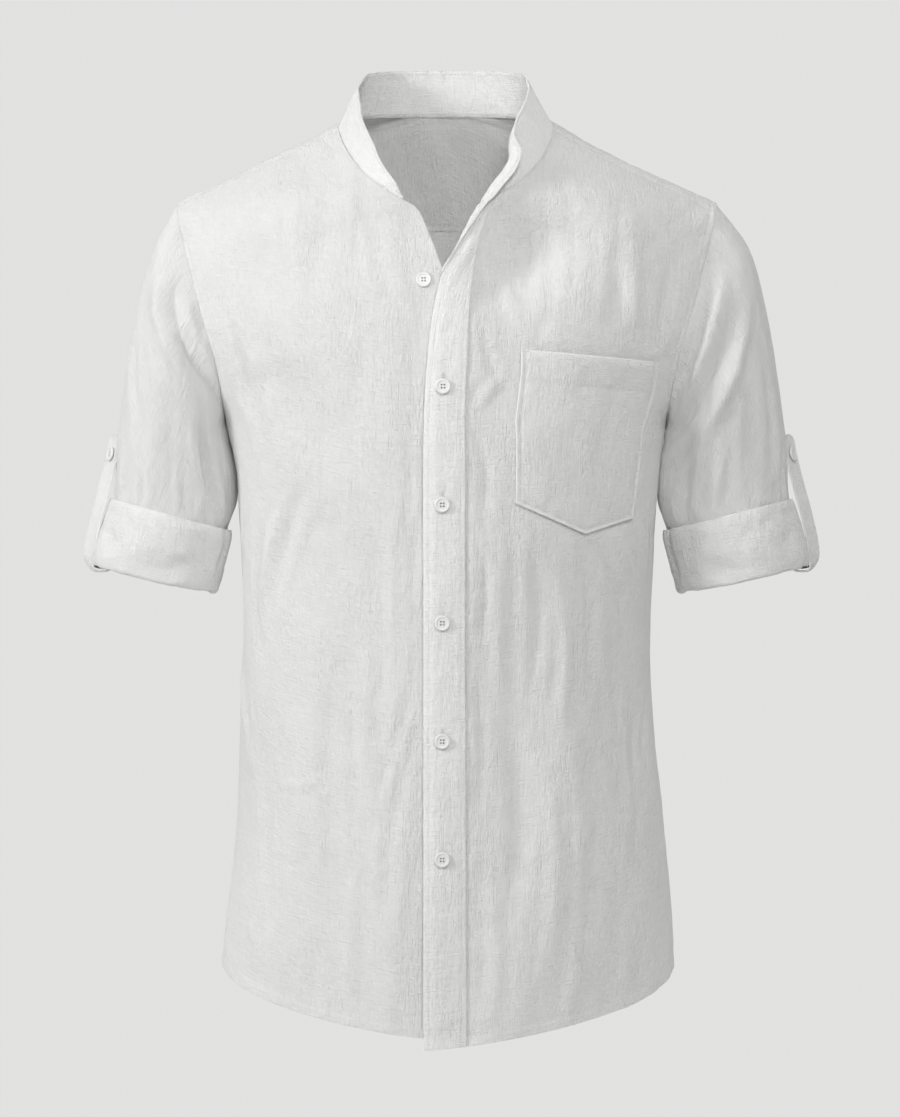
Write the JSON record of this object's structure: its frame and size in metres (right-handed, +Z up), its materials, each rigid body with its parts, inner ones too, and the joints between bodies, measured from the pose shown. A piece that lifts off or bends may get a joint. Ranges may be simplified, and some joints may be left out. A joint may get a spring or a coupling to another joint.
{
  "type": "mandarin collar shirt",
  "caption": "White linen shirt in a worn, hollow form: band collar open at the neck, buttoned placket, curved hem, one chest pocket, and sleeves rolled up and held by tabs.",
  "frame": {"origin": "the middle of the neck, level with the shoulder points where the collar meets the shoulders; this is where the wearer's neck and shoulders hold the shirt", "axes": "+Z up; -Y is the front of the shirt; +X is the wearer's left, which is on the right seen from the front"},
  "size_m": [0.594, 0.2621, 0.7917],
  "materials": {
    "cloth": "matt white slub linen, one layer, with soft creases",
    "trim_cloth": "the same linen in two or more layers, stitched near its edges",
    "button": "glossy white shirt button with four holes and a raised rim"
  },
  "bodies": {
    "root": {"front_right": "cloth", "front_left": "cloth", "back": "cloth", "yoke": "cloth", "sleeve_right": "cloth", "sleeve_left": "cloth", "pocket": "cloth", "placket": "trim_cloth", "collar": "trim_cloth", "cuff_right": "trim_cloth", "cuff_left": "trim_cloth", "tab_right": "trim_cloth", "tab_left": "trim_cloth", "button_1": "button", "button_2": "button", "button_3": "button", "button_4": "button", "button_5": "button", "button_6": "button", "tab_button_right": "button", "tab_button_left": "button"}
  },
  "joints": []
}
